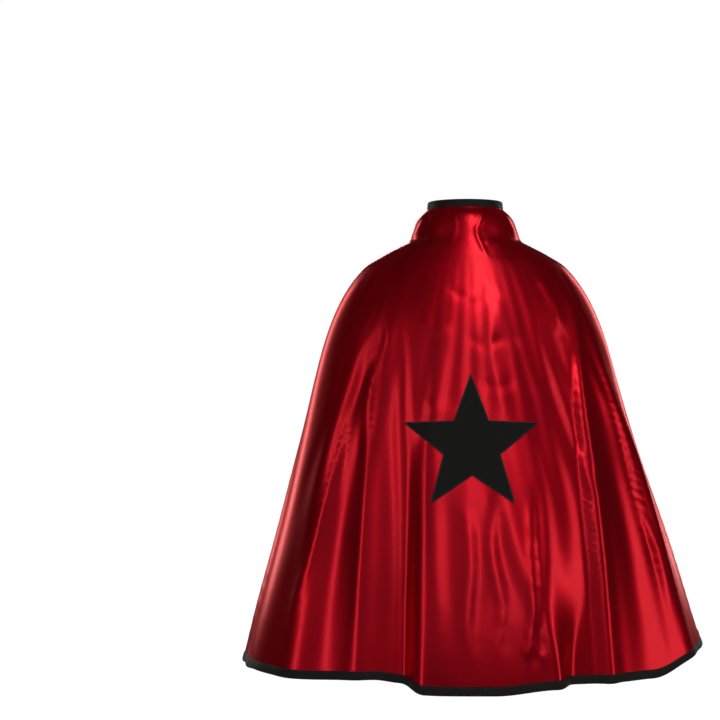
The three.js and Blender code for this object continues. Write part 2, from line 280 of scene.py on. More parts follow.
def sample(grid, row, column):
    """Smooth interpolation of a grid at fractional rows and columns, straight on past its edges."""
    row, column = np.broadcast_arrays(np.asarray(row, float), np.asarray(column, float))
    result = 0.0
    i0 = np.clip(np.floor(row).astype(int), 0, grid.shape[0] - 2)
    j0 = np.clip(np.floor(column).astype(int), 0, grid.shape[1] - 2)
    weights = []
    for t in (row - i0, column - j0):
        inside = np.clip(t, 0, 1)
        beyond = t - inside
        w = [
            0.5 * (-inside + 2 * inside**2 - inside**3),
            0.5 * (2 - 5 * inside**2 + 3 * inside**3),
            0.5 * (inside + 4 * inside**2 - 3 * inside**3),
            0.5 * (inside**3 - inside**2),
        ]
        w[1] = w[1] - beyond
        w[2] = w[2] + beyond
        weights.append(w)
    for a in range(4):
        i = np.clip(i0 + a - 1, 0, grid.shape[0] - 1)
        for b in range(4):
            j = np.clip(j0 + b - 1, 0, grid.shape[1] - 1)
            result = result + (weights[0][a] * weights[1][b])[..., None] * grid[i, j]
    return result


def cloth_at(row, column, offset):
    """Places on the draped cloth, offset metres out from its middle surface."""
    point = sample(drape["grid"], row, column)
    return point + unit(sample(drape["normals"], row, column)) * np.asarray(offset)[..., None]


# ---- Making meshes ----
def deselect():
    if bpy.context.object and bpy.context.object.mode != "OBJECT":
        bpy.ops.object.mode_set(mode="OBJECT")
    bpy.ops.object.select_all(action="DESELECT")


def new_grid(name, points, uv):
    """A grid mesh with the given points, rows by columns, and a UV map in metres along the cloth."""
    rows, columns = points.shape[:2]
    deselect()
    bpy.ops.mesh.primitive_grid_add(
        x_subdivisions=columns - 1, y_subdivisions=rows - 1, size=1, calc_uvs=True)
    piece = bpy.context.object
    piece.name = name
    piece.data.name = name
    piece.data.vertices.foreach_set("co", points.reshape(-1).astype(np.float32))
    set_uv(piece, uv.reshape(-1, 2))
    piece.data.update()
    return piece


def set_uv(piece, uv):
    mesh = piece.data
    corner = np.zeros(len(mesh.loops), int)
    mesh.loops.foreach_get("vertex_index", corner)
    layer = mesh.uv_layers.active or mesh.uv_layers.new(name="UVMap")
    layer.name = "UVMap"
    layer.data.foreach_set("uv", uv[corner].reshape(-1).astype(np.float32))


def mesh_piece(name, vertices, faces, uv=None):
    """A mesh from points and faces, for what repeats along a seam."""
    mesh = bpy.data.meshes.new(name)
    mesh.from_pydata([tuple(v) for v in vertices], [], [tuple(int(i) for i in f) for f in faces])
    piece = bpy.data.objects.new(name, mesh)
    bpy.context.collection.objects.link(piece)
    if uv is not None:
        set_uv(piece, np.asarray(uv))
    return piece


def activate(piece):
    """Select one piece alone and make it active."""
    deselect()
    piece.select_set(True)
    bpy.context.view_layer.objects.active = piece


def edit_all(piece, step, **settings):
    """Run one edit mode operator on all of a piece."""
    activate(piece)
    bpy.ops.object.mode_set(mode="EDIT")
    bpy.ops.mesh.select_all(action="SELECT")
    step(**settings)
    bpy.ops.object.mode_set(mode="OBJECT")


def apply_modifier(piece, kind, name, **settings):
    activate(piece)
    modifier = piece.modifiers.new(name, kind)
    for key, value in settings.items():
        setattr(modifier, key, value)
    bpy.ops.object.modifier_apply(modifier=name)


def smooth(piece, degrees=None):
    """Smooth shading, kept sharp at edges past the given angle."""
    piece.data.polygons.foreach_set("use_smooth", [True] * len(piece.data.polygons))
    piece.data.update()
    if degrees:
        activate(piece)
        bpy.ops.object.shade_smooth_by_angle(angle=math.radians(degrees))


def dress(piece, material):
    piece.data.materials.clear()
    piece.data.materials.append(material)


def blend_side(piece, side, sign):
    """Bakes the piece's placing into its mesh."""
    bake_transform(piece)


# ---- Materials ----
def node(tree, kind, **inputs):
    made = tree.nodes.new(kind)
    for key, value in inputs.items():
        made.inputs[key.replace("_", " ")].default_value = value
    return made


def group_tree(name, inputs, outputs):
    """A new node group with named sockets, and its input and output nodes."""
    tree = bpy.data.node_groups.new(name, "ShaderNodeTree")
    for socket, kind, default in inputs:
        made = tree.interface.new_socket(name=socket, in_out="INPUT", socket_type=kind)
        if default is not None:
            made.default_value = default
    for socket, kind in outputs:
        tree.interface.new_socket(name=socket, in_out="OUTPUT", socket_type=kind)
    return tree, tree.nodes.new("NodeGroupInput"), tree.nodes.new("NodeGroupOutput")


def math_node(tree, operation, a, b):
    made = tree.nodes.new("ShaderNodeMath")
    made.operation = operation
    for socket, value in zip(made.inputs, (a, b)):
        if isinstance(value, (int, float)):
            socket.default_value = value
        else:
            tree.links.new(value, socket)
    return made.outputs[0]


def scaled(tree, vector, scale):
    mapping = node(tree, "ShaderNodeMapping", Scale=scale)
    tree.links.new(vector, mapping.inputs["Vector"])
    return mapping.outputs["Vector"]


def noise(tree, vector, scale, detail=2.0, roughness=0.5):
    made = node(tree, "ShaderNodeTexNoise", Scale=scale, Detail=detail, Roughness=roughness)
    tree.links.new(vector, made.inputs["Vector"])
    return made.outputs["Fac"]


FLOATS_PER_METRE = (260, 2600, 1)   # the satin's floats, along and across the cloth
SLUBS_PER_METRE = (70, 620, 1)
SHADE_AND_GLOSS_CLOUDS_PER_METRE = (9, 6, 1)        # slow patches of painted shade, which also vary the gloss
SATIN_ROUGHNESS = 0.33
SATIN_COAT = 0.14


def satin_group():
    """Satin: long floats across the cloth, slubs, and slow patches of painted shade."""
    tree, given, made = group_tree(
        "Satin weave",
        [("Vector", "NodeSocketVector", None), ("Colour", "NodeSocketColor", (0.4, 0, 0.01, 1)),
         ("Painted Shade Colour", "NodeSocketColor", (0.2, 0, 0.005, 1)), ("Roughness", "NodeSocketFloat", 0.3)],
        [("Colour", "NodeSocketColor"), ("Roughness", "NodeSocketFloat"), ("Height", "NodeSocketFloat")],
    )
    vector = given.outputs["Vector"]
    floats = noise(tree, scaled(tree, vector, FLOATS_PER_METRE), 1.0, 2.0, 0.6)
    slubs = noise(tree, scaled(tree, vector, SLUBS_PER_METRE), 1.0, 3.0, 0.7)
    shade_and_gloss_cloud = noise(tree, scaled(tree, vector, SHADE_AND_GLOSS_CLOUDS_PER_METRE), 1.0, 3.0, 0.55)
    # Colour: the lit colour mixed with a painted shade colour, by slow cloud patches of painted shade and by
    # the yarn's slubs
    mix = tree.nodes.new("ShaderNodeMix")
    mix.data_type = "RGBA"
    tree.links.new(given.outputs["Painted Shade Colour"], mix.inputs["A"])
    tree.links.new(given.outputs["Colour"], mix.inputs["B"])
    share = math_node(tree, "ADD", math_node(tree, "MULTIPLY", shade_and_gloss_cloud, 1.1),
                      math_node(tree, "MULTIPLY", slubs, 0.3))
    tree.links.new(math_node(tree, "SUBTRACT", share, 0.15), mix.inputs["Factor"])
    tree.links.new(mix.outputs["Result"], made.inputs["Colour"])
    patch = math_node(tree, "MULTIPLY", math_node(tree, "SUBTRACT", shade_and_gloss_cloud, 0.5), 0.12)
    rough = math_node(tree, "ADD", given.outputs["Roughness"], patch)
    tree.links.new(rough, made.inputs["Roughness"])
    height = math_node(tree, "ADD", math_node(tree, "MULTIPLY", slubs, 0.7),
                       math_node(tree, "MULTIPLY", floats, 0.3))
    tree.links.new(height, made.inputs["Height"])
    return tree


def weave_group():
    """Plain or twill cloth: crossing threads, with fuzz."""
    tree, given, made = group_tree(
        "Thread weave",
        [("Vector", "NodeSocketVector", None), ("Colour", "NodeSocketColor", (0.01, 0.01, 0.01, 1)),
         ("Light Colour", "NodeSocketColor", (0.03, 0.03, 0.03, 1)), ("Threads", "NodeSocketFloat", 1500.0)],
        [("Colour", "NodeSocketColor"), ("Height", "NodeSocketFloat")],
    )
    vector = given.outputs["Vector"]
    waves = []
    for direction in ("X", "Y"):
        wave = tree.nodes.new("ShaderNodeTexWave")
        wave.wave_type = "BANDS"
        wave.bands_direction = direction
        wave.inputs["Distortion"].default_value = 0.6
        wave.inputs["Detail"].default_value = 1.0
        tree.links.new(vector, wave.inputs["Vector"])
        tree.links.new(math_node(tree, "MULTIPLY", given.outputs["Threads"], 0.3), wave.inputs["Scale"])
        waves.append(wave.outputs["Fac"])
    fuzz = noise(tree, scaled(tree, vector, (900, 900, 1)), 1.0, 2.0, 0.7)
    height = math_node(tree, "ADD", math_node(tree, "MULTIPLY", waves[0], waves[1]),
                       math_node(tree, "MULTIPLY", fuzz, 0.6))
    mix = tree.nodes.new("ShaderNodeMix")
    mix.data_type = "RGBA"
    tree.links.new(given.outputs["Colour"], mix.inputs["A"])
    tree.links.new(given.outputs["Light Colour"], mix.inputs["B"])
    tree.links.new(math_node(tree, "MULTIPLY", height, 0.6), mix.inputs["Factor"])
    tree.links.new(mix.outputs["Result"], made.inputs["Colour"])
    tree.links.new(height, made.inputs["Height"])
    return tree


def material_base(name):
    material = bpy.data.materials.new(name)
    material.use_nodes = True
    tree = material.node_tree
    return material, tree, tree.nodes["Principled BSDF"]


def uv_vector(tree):
    coordinates = tree.nodes.new("ShaderNodeUVMap")
    coordinates.uv_map = "UVMap"
    return coordinates.outputs["UV"]


def bump(tree, shader, height, strength, distance):
    made = node(tree, "ShaderNodeBump", Strength=strength, Distance=distance)
    tree.links.new(height, made.inputs["Height"])
    tree.links.new(made.outputs["Normal"], shader.inputs["Normal"])


def satin(name, colour, painted_shade_colour, edge_tint):
    material, tree, shader = material_base(name)
    weave = tree.nodes.new("ShaderNodeGroup")
    weave.node_tree = bpy.data.node_groups.get("Satin weave") or satin_group()
    weave.inputs["Colour"].default_value = (*colour, 1)
    # The deep colour is painted shade, laid over the satin in slow patches and along the slubs
    weave.inputs["Painted Shade Colour"].default_value = (*painted_shade_colour, 1)
    weave.inputs["Roughness"].default_value = SATIN_ROUGHNESS
    tree.links.new(uv_vector(tree), weave.inputs["Vector"])
    tree.links.new(weave.outputs["Colour"], shader.inputs["Base Color"])
    tree.links.new(weave.outputs["Roughness"], shader.inputs["Roughness"])
    bump(tree, shader, weave.outputs["Height"], 0.12, 0.1 * MM)
    shader.inputs["Metallic"].default_value = 0.72
    shader.inputs["Specular IOR Level"].default_value = 0.35
    shader.inputs["Specular Tint"].default_value = (*edge_tint, 1)
    shader.inputs["Coat Weight"].default_value = SATIN_COAT
    shader.inputs["Coat Roughness"].default_value = 0.25
    return material


def woven(name, colour, light_colour, threads, roughness):
    material, tree, shader = material_base(name)
    weave = tree.nodes.new("ShaderNodeGroup")
    weave.node_tree = bpy.data.node_groups.get("Thread weave") or weave_group()
    weave.inputs["Colour"].default_value = (*colour, 1)
    weave.inputs["Light Colour"].default_value = (*light_colour, 1)
    weave.inputs["Threads"].default_value = threads
    tree.links.new(uv_vector(tree), weave.inputs["Vector"])
    tree.links.new(weave.outputs["Colour"], shader.inputs["Base Color"])
    bump(tree, shader, weave.outputs["Height"], 0.5, 0.15 * MM)
    shader.inputs["Roughness"].default_value = roughness
    shader.inputs["Specular IOR Level"].default_value = 0.3
    shader.inputs["Sheen Weight"].default_value = 0.05
    return material


def foil(name, colour, roughness, metallic):
    """Heat-set film: bright, with a faint crinkle."""
    material, tree, shader = material_base(name)
    crinkle = noise(tree, scaled(tree, uv_vector(tree), (45, 45, 1)), 1.0, 4.0, 0.6)
    bump(tree, shader, crinkle, 0.25, 0.8 * MM)
    shader.inputs["Base Color"].default_value = (*colour, 1)
    shader.inputs["Roughness"].default_value = roughness
    shader.inputs["Metallic"].default_value = metallic
    return material


def get_material(name):
    return bpy.data.materials[name]


# ---- Settings ----
class CapeColours(bpy.types.PropertyGroup):
    red: bpy.props.FloatVectorProperty(
        name="Red satin", description="Outer face in the light", subtype="COLOR", default=(0.6, 0.001, 0.013))
    # Painted shade: the deep red stands for the outer face in shade, laid in slow patches
    painted_shade_red: bpy.props.FloatVectorProperty(
        name="Painted shade red", description="Outer face in its darker patches", subtype="COLOR",
        default=(0.34, 0.0, 0.012))
    blue: bpy.props.FloatVectorProperty(
        name="Blue satin", description="Lining face in the light", subtype="COLOR", default=(0.03, 0.05, 0.5))
    painted_shade_blue: bpy.props.FloatVectorProperty(
        # Painted shade: the deep blue stands for the lining face in shade, laid in slow patches
        name="Painted shade blue", description="Lining face in its darker patches", subtype="COLOR",
        default=(0.012, 0.02, 0.3))
    yellow: bpy.props.FloatVectorProperty(
        name="Badge yellow", description="Field of the lining badge", subtype="COLOR",
        default=(0.72, 0.47, 0.03))
    foil_red: bpy.props.FloatVectorProperty(
        name="Foil red", description="Foil of the lining badge", subtype="COLOR", default=(0.42, 0.0, 0.025))


class CapeSizes(bpy.types.PropertyGroup):
    cloth_gap: bpy.props.FloatProperty(
        name="Cloth gap", description="From the middle surface to each satin face", unit="LENGTH",
        default=0.5 * MM)
    collar_gap: bpy.props.FloatProperty(
        name="Collar gap", description="The same in the collar, which holds interfacing", unit="LENGTH",
        default=0.8 * MM)
    cloth_thickness: bpy.props.FloatProperty(
        name="Cloth thickness", description="Thickness of the satin", unit="LENGTH", default=0.22 * MM)
    mesh_step: bpy.props.FloatProperty(
        name="Mesh step", description="Spacing of the finished cloth's grid", unit="LENGTH", default=3.6 * MM)
    star_radius: bpy.props.FloatProperty(
        name="Star radius", description="From the middle of the star emblem to its points", unit="LENGTH",
        default=92 * MM)
    badge_radius: bpy.props.FloatProperty(
        name="Badge radius", description="Outer radius of the lining badge", unit="LENGTH", default=84 * MM)


# ---- Operators ----
class CAPE_OT_materials(bpy.types.Operator):
    """Make the cape's materials"""
    bl_idname = "cape.materials"
    bl_label = "Materials"

    def execute(self, context):
        colours = context.scene.cape_colours
        satin("Red satin", colours.red, colours.painted_shade_red, (0.9, 0.13, 0.12))
        satin("Blue satin", colours.blue, colours.painted_shade_blue, (0.25, 0.35, 1.0))
        woven("Black binding", (0.003, 0.003, 0.004), (0.012, 0.012, 0.013), 1600, 0.7)
        woven("Black thread", (0.012, 0.012, 0.013), (0.05, 0.05, 0.052), 4000, 0.45)
        woven("Black felt", (0.004, 0.005, 0.006), (0.014, 0.015, 0.017), 900, 0.9)
        woven("Hook tape", (0.008, 0.008, 0.009), (0.03, 0.03, 0.03), 700, 0.6)
        woven("Loop tape", (0.006, 0.006, 0.007), (0.02, 0.02, 0.02), 500, 0.95)
        woven("Interfacing", (0.7, 0.7, 0.68), (0.85, 0.85, 0.83), 500, 0.9)
        woven("Label tape", (0.72, 0.71, 0.68), (0.86, 0.85, 0.82), 2200, 0.6)
        foil("Yellow film", colours.yellow, 0.32, 0.25)
        foil("Red foil", colours.foil_red, 0.14, 0.9)
        return {"FINISHED"}


FRAMES = 18
SLACK = (0.01, 0.014)    # how much longer the cut is than the hung shape: down and round
FARTHEST = 9 * MM         # how far the cloth may move while it relaxes
BROAD_PASSES = 120        # blurring that leaves only the broad movement
BROAD_REMOVED = 0.85      # share of the broad movement that is taken away
HELD_SHARE = 0.2          # share of the movement kept near the neck
FREE_HEIGHTS = (70, 250)  # millimetres below the neck between which the rest comes in


def slack_shape(grid):
    """The cloth as cut: slightly larger than it hangs, by a share that changes over it."""
    rows, columns = grid.shape[:2]
    row, column = np.meshgrid(np.linspace(0, 1, rows), np.linspace(0, 1, columns), indexing="ij")
    patches = 0.5 + 0.5 * np.sin(9 * column + 3 * np.sin(5 * row)) * np.sin(7 * row + 2 * np.sin(11 * column))
    cut = grid.copy()
    down = np.diff(grid, axis=0) * (SLACK[0] * (0.4 + patches) * smoothstep(0.1, 0.5, row))[1:, :, None]
    cut[1:] += np.cumsum(down, axis=0)
    middle = columns // 2
    steps = np.diff(grid, axis=1) * (SLACK[1] * (0.3 + patches) * smoothstep(0.2, 0.6, row))[:, 1:, None]
    shift = np.concatenate([np.zeros((rows, 1, 3)), np.cumsum(steps, axis=1)], axis=1)
    return cut + shift - shift[:, middle:middle + 1]


def blurred(field, passes):
    """The field with each place averaged with its neighbours, so many times."""
    for _ in range(passes):
        for axis in (0, 1):
            padded = np.concatenate([field.take([0], axis), field, field.take([-1], axis)], axis=axis)
            ahead, behind = np.delete(padded, [0, 1], axis), np.delete(padded, [-1, -2], axis)
            field = 0.5 * field + 0.25 * (ahead + behind)
    return field


def relax(context, grid):
    """Cloth simulation: the cut cloth settles into the space of the hung shape and creases."""
    rows, columns = grid.shape[:2]
    uv = np.zeros((rows, columns, 2))
    piece = new_grid("hanging_cloth", grid, uv)
    height = grid[:, :, 2].reshape(-1) / MM
    hold = piece.vertex_groups.new(name="hold")
    levels = np.round(0.1 + 0.9 * smoothstep(-40, 12, height), 2)
    for level in np.unique(levels):
        hold.add(np.where(levels == level)[0].tolist(), float(level), "REPLACE")
    piece.shape_key_add(name="Basis")
    cut = piece.shape_key_add(name="cut")
    cut.data.foreach_set("co", slack_shape(grid).reshape(-1).astype(np.float32))
    modifier = piece.modifiers.new("Cloth", "CLOTH")
    settings = modifier.settings
    settings.quality = 5
    settings.mass = 0.15
    settings.air_damping = 4
    settings.tension_stiffness = 15
    settings.compression_stiffness = 15
    settings.shear_stiffness = 6
    settings.bending_stiffness = 0.4
    settings.vertex_group_mass = "hold"
    settings.pin_stiffness = 0.5
    settings.rest_shape_key = cut
    settings.effector_weights.gravity = 0.05
    modifier.collision_settings.use_self_collision = False
    modifier.point_cache.frame_start = 1
    modifier.point_cache.frame_end = FRAMES
    for number in range(1, FRAMES + 1):
        context.scene.frame_set(number)
    settled = piece.evaluated_get(context.evaluated_depsgraph_get()).to_mesh()
    points = np.zeros(len(settled.vertices) * 3)
    settled.vertices.foreach_get("co", points)
    move = points.reshape(grid.shape) - grid
    move = blurred(move, 1)
    move -= BROAD_REMOVED * blurred(move, BROAD_PASSES)
    move *= HELD_SHARE + (1 - HELD_SHARE) * smoothstep(*FREE_HEIGHTS, -grid[:, :, 2:] / MM)
    length = np.linalg.norm(move, axis=2, keepdims=True)
    bpy.data.objects.remove(piece, do_unlink=True)
    context.scene.frame_set(1)
    return grid + move * np.minimum(1, FARTHEST / np.maximum(length, 1e-9))


class CAPE_OT_drape(bpy.types.Operator):
    """Hang the cloth from the collar and let it relax into folds"""
    bl_idname = "cape.drape"
    bl_label = "Drape"

    def execute(self, context):
        grid = target_grid()
        grid = relax(context, grid)
        grid = crease(grid, grid_normals(grid))
        drape["grid"] = grid
        drape["normals"] = grid_normals(grid)
        drape["tree"] = drape_tree()
        drape["cloth_gap"] = context.scene.cape_sizes.cloth_gap
        drape["collar_gap"] = context.scene.cape_sizes.collar_gap
        drape["seam_row"] = float(np.interp(-COLLAR_SEAM * MM, -grid[:, 0, 2], np.arange(ROWS + 1)))
        return {"FINISHED"}


BACK_SPLIT = 0.42    # share of the half girth where a side's cloth is joined on in the mesh


def cloth_piece(name, rows, columns, face, context, material):
    """One piece of satin between two rows and two columns of the drape, with thickness."""
    step = context.scene.cape_sizes.mesh_step
    grid = drape["grid"]
    length = along(grid[:, COLUMNS // 2])
    girth = along(grid[-1])
    row_count = max(4, int((np.interp(rows[1], np.arange(ROWS + 1), length)
                            - np.interp(rows[0], np.arange(ROWS + 1), length)) / step))
    column_count = max(4, int(abs(np.interp(columns[1], np.arange(COLUMNS + 1), girth)
                                  - np.interp(columns[0], np.arange(COLUMNS + 1), girth)) / step))
    row, column = np.meshgrid(
        np.linspace(*rows, row_count + 1), np.linspace(*columns, column_count + 1), indexing="ij")
    points = cloth_at(row, column, face * face_gap(row))
    uv = np.stack([np.interp(column, np.arange(COLUMNS + 1), girth),
                   -np.interp(row, np.arange(ROWS + 1), length)], axis=-1)
    piece = new_grid(name, points, uv)
    thickness = context.scene.cape_sizes.cloth_thickness
    apply_modifier(piece, "SOLIDIFY", "Thickness", thickness=thickness, offset=0.0)
    smooth(piece)
    normal = unit(sample(drape["normals"], row, column).reshape(-1, 3))
    corners = np.zeros(len(piece.data.vertices) * 3)
    piece.data.vertices.foreach_get("co", corners)
    lifted = ((corners.reshape(-1, 3)[:len(normal)] - points.reshape(-1, 3)) * normal).sum(axis=1).mean()
    piece.data.normals_split_custom_set_from_vertices(np.vstack([normal, -normal]) * np.sign(lifted))
    dress(piece, get_material(material))
    return piece


def add_face(context, prefix, sign, material, nodes):
    """One face of the cape: its collar, back and two sides."""
    middle = COLUMNS / 2
    split = (middle * (1 - BACK_SPLIT), middle * (1 + BACK_SPLIT))
    seam = drape["seam_row"]
    collar = cloth_piece(f"{prefix}_collar", (0, seam), (0, COLUMNS), sign, context, material)
    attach(collar, ROOT)
    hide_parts(nodes["collar"])
    back = cloth_piece(f"{prefix}_back", (seam, ROWS), split, sign, context, material)
    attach(back, ROOT)
    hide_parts(nodes["back"])
    for side, which in SIDES:
        columns = (0, split[0]) if which < 0 else (split[1], COLUMNS)
        piece = cloth_piece(
            f"{prefix}_{side}_side", (seam, ROWS), columns, sign, context, material)
        blend_side(piece, side, which)
        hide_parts(*[n.replace("SIDE", side) for n in nodes["side"]])


class CAPE_OT_red_face(bpy.types.Operator):
    """Cut the red satin face"""
    bl_idname = "cape.red_face"
    bl_label = "Red face"

    def execute(self, context):
        nodes = {"collar": "collar_panel", "back": "back_panel",
                 "side": ["SIDE_shoulder_panel", "SIDE_front_panel"]}
        add_face(context, "red", 1, "Red satin", nodes)
        return {"FINISHED"}


class CAPE_OT_blue_face(bpy.types.Operator):
    """Cut the blue satin face"""
    bl_idname = "cape.blue_face"
    bl_label = "Blue face"

    def execute(self, context):
        nodes = {"collar": "collar_lining", "back": "back_lining",
                 "side": ["SIDE_shoulder_lining", "SIDE_front_lining"]}
        add_face(context, "blue", -1, "Blue satin", nodes)
        return {"FINISHED"}


# ---- The bound edge ----
TAPE_GAP = 0.15      # millimetres between the satin and the tape over it
TAPE_SECTION = (     # the tape's outer side: inward from the edge, and out from the satin, mm
    (10.0, 0.0), (10.0, 0.45), (9.3, 0.85), (7.2, 1.25), (4.2, 1.45), (1.6, 1.3), (0.2, 0.9), (-0.8, 0.2),
)
TAPE_FOLD = 1.3      # how far the fold stands beyond the satin's edge
CORNER_STATIONS = 9
STITCH_PITCH = 3.4
STITCH_LENGTH = 2.5
STITCH_RADIUS = 0.24
STITCH_INSET = 8.3   # from the edge to the row of stitches
STITCH_HEIGHT = 1.3  # above the satin
HALF_SATIN = 0.11    # half the satin's thickness


def edge_path(corners):
    """Stations along the cape's edge, through the given corners: row, column and the way out."""
    stations = []
    for (row_a, column_a, row_b, column_b) in corners:
        count = int(max(abs(row_b - row_a), abs(column_b - column_a)) * 2) + 1
        if row_a == row_b:
            out = (-1, 0) if row_a == 0 else (1, 0)
        else:
            out = (0, -1) if column_a == 0 else (0, 1)
        if stations:
            last = stations[-1]
            for t in np.linspace(0, math.pi / 2, CORNER_STATIONS)[1:-1]:
                stations.append((row_a, column_a, last[2] * math.cos(t) + out[0] * math.sin(t),
                                 last[3] * math.cos(t) + out[1] * math.sin(t)))
        for t in np.linspace(0, 1, count):
            stations.append((row_a + (row_b - row_a) * t, column_a + (column_b - column_a) * t, *out))
    return np.array(stations, float)


def edge_place(stations, inward, out_of_satin, face):
    """Points at a distance in from the edge and out from the satin, on face 1 (red) or -1."""
    grid = drape["grid"]
    row, column = stations[:, 0], stations[:, 1]
    row_step = np.linalg.norm(grid[1:, 0] - grid[:-1, 0], axis=1)
    column_step = np.linalg.norm(grid[:, 1] - grid[:, 0], axis=1)
    per_row = np.interp(row, np.arange(ROWS) + 0.5, row_step)
    per_column = np.interp(row, np.arange(ROWS + 1), column_step)
    inside = max(inward, 0) * MM
    beyond = max(-inward, 0) * MM
    new_row = np.clip(row, inside / per_row, ROWS - inside / per_row) + beyond / per_row * stations[:, 2]
    new_column = np.clip(column, inside / per_column, COLUMNS - inside / per_column)
    new_column = new_column + beyond / per_column * stations[:, 3]
    return cloth_at(new_row, new_column, face * (face_gap(row) + out_of_satin * MM))


def ring_faces(rings, per_ring):
    """Quads of a tube of rings, and a cap on each end."""
    i = np.arange(per_ring)
    n = (i + 1) % per_ring
    faces = []
    for j in range(rings - 1):
        a, b = j * per_ring + i, j * per_ring + n
        faces.append(np.stack([a, b, b + per_ring, a + per_ring], axis=1))
    faces = [tuple(f) for f in np.vstack(faces)]
    faces.append(tuple(range(per_ring - 1, -1, -1)))
    faces.append(tuple(range((rings - 1) * per_ring, rings * per_ring)))
    return faces


def recalculate(piece, merge=None):
    """Merge doubled points if asked, and face every side outwards."""
    if merge:
        edit_all(piece, bpy.ops.mesh.remove_doubles, threshold=merge)
    edit_all(piece, bpy.ops.mesh.normals_make_consistent, inside=False)


def binding_tape(name, stations):
    """The tape folded over the edge along the stations."""
    outer = [(d, h + TAPE_GAP + HALF_SATIN) for d, h in TAPE_SECTION]
    columns = [edge_place(stations, d, h, 1) for d, h in outer]
    fold = [edge_place(stations, -TAPE_FOLD, 0.0, face) for face in (1, -1)]
    columns.append(fold[0] * 0.5 + fold[1] * 0.5)
    columns += [edge_place(stations, d, h, -1) for d, h in reversed(outer)]
    columns += [edge_place(stations, 1.0, TAPE_GAP * 0.5 + HALF_SATIN, face) for face in (-1, 1)]
    points = np.stack(columns, axis=1)
    count = len(columns)
    length = along(points[:, 3])
    across = along(points[len(points) // 2])
    uv = np.stack(np.meshgrid(length, across, indexing="ij"), axis=-1).reshape(-1, 2)
    piece = mesh_piece(name, points.reshape(-1, 3), ring_faces(len(points), count), uv)
    recalculate(piece, merge=0.02 * MM)
    smooth(piece, 50)
    dress(piece, get_material("Black binding"))
    return piece


def stitch_template():
    """A stitch lying along X, one unit long and one unit in radius: points and faces."""
    points = [(-0.5, 0, 0)]
    around = 6
    for x, r in ((-0.36, 0.75), (-0.12, 1.0), (0.12, 1.0), (0.36, 0.75)):
        for k in range(around):
            turn = k * math.tau / around
            points.append((x, r * math.cos(turn), r * math.sin(turn)))
    points.append((0.5, 0, 0))
    faces = [(0, 1 + (k + 1) % around, 1 + k) for k in range(around)]
    for j in range(3):
        for k in range(around):
            a, b = 1 + j * around + k, 1 + j * around + (k + 1) % around
            faces.append((a, b, b + around, a + around))
    last = len(points) - 1
    faces += [(last, last - around + k, last - around + (k + 1) % around) for k in range(around)]
    return np.array(points), faces


def stitches(name, centres, directions, normals, material, length=STITCH_LENGTH, radius=STITCH_RADIUS):
    """A row of stitches, each at its centre, along its direction and lying on its normal."""
    template, faces = stitch_template()
    sideways = unit(np.cross(normals, directions))
    x = template[:, 0] * length * MM
    y = template[:, 1] * radius * MM
    z = template[:, 2] * radius * MM
    points = (centres[:, None] + x[None, :, None] * directions[:, None] + y[None, :, None] * sideways[:, None]
              + z[None, :, None] * normals[:, None])
    count = len(template)
    every = [tuple(i + k * count for i in face) for k in range(len(centres)) for face in faces]
    flat = np.tile(np.stack([x, y], axis=1), (len(centres), 1))
    piece = mesh_piece(name, points.reshape(-1, 3), every, flat)
    smooth(piece)
    recalculate(piece)
    piece.data.materials.append(get_material(material))
    return piece


def edge_stitching(name, stations):
    """Machine stitches along the tape, on both faces of the cape."""
    every = []
    for face in (1, -1):
        line = edge_place(stations, STITCH_INSET, STITCH_HEIGHT, face)
        lifted = edge_place(stations, STITCH_INSET, STITCH_HEIGHT + 1, face)
        distance = along(line)
        at = np.arange(STITCH_PITCH, distance[-1] / MM - STITCH_PITCH, STITCH_PITCH) * MM
        centre = line_at(at, distance, line)
        ahead = line_at(at + MM, distance, line)
        every.append((centre, unit(ahead - centre), unit(line_at(at, distance, lifted - line))))
    centre, direction, normal = (np.vstack(parts) for parts in zip(*every))
    piece = stitches(name, centre, direction, normal, "Black thread")
    return piece


def edge_routes():
    """The cape's edge in four runs: name, stations, side and the CAD nodes that the tape replaces."""
    middle = COLUMNS / 2
    left, right = middle * (1 - BACK_SPLIT), middle * (1 + BACK_SPLIT)
    routes = [
        ("collar_top", edge_path([(0, 0, 0, COLUMNS)]), None, ["collar_top_binding"]),
        ("back_hem", edge_path([(ROWS, left, ROWS, right)]), None, ["back_hem_binding"]),
    ]
    for side, sign in SIDES:
        column = 0 if sign < 0 else COLUMNS
        split = left if sign < 0 else right
        stations = edge_path([(0, column, ROWS, column), (ROWS, column, ROWS, split)])
        names = [f"{side}_{part}_binding" for part in ("collar_end", "shoulder", "front", "hem")]
        routes.append((f"{side}_front", stations, (side, sign), names))
    return routes


class CAPE_OT_binding(bpy.types.Operator):
    """Fold the binding tape over every edge and stitch it down"""
    bl_idname = "cape.binding"
    bl_label = "Binding"

    def execute(self, context):
        for name, stations, swing, nodes in edge_routes():
            tape = binding_tape(f"{name}_tape", stations)
            thread = edge_stitching(f"{name}_stitching", stations)
            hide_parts(*nodes)
            for piece in (tape, thread):
                if swing:
                    blend_side(piece, *swing)
                else:
                    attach(piece, ROOT)
        return {"FINISHED"}


# ---- Emblems ----
STAR_WAIST = 0.42        # inner points of a star, as a share of its outer radius
EMBLEM_HEIGHT = -0.272   # middle of both emblems, metres
OVERCAST_PITCH = 0.62    # the stitches over the star's edge, mm
OVERCAST_LENGTH = 2.6
OVERCAST_RADIUS = 0.36


def face_gap(row):
    """From the middle surface to a satin face: more in the collar, which holds interfacing."""
    turn = [drape["seam_row"] - 4, drape["seam_row"] + 4]
    return np.interp(row, turn, [drape["collar_gap"], drape["cloth_gap"]])


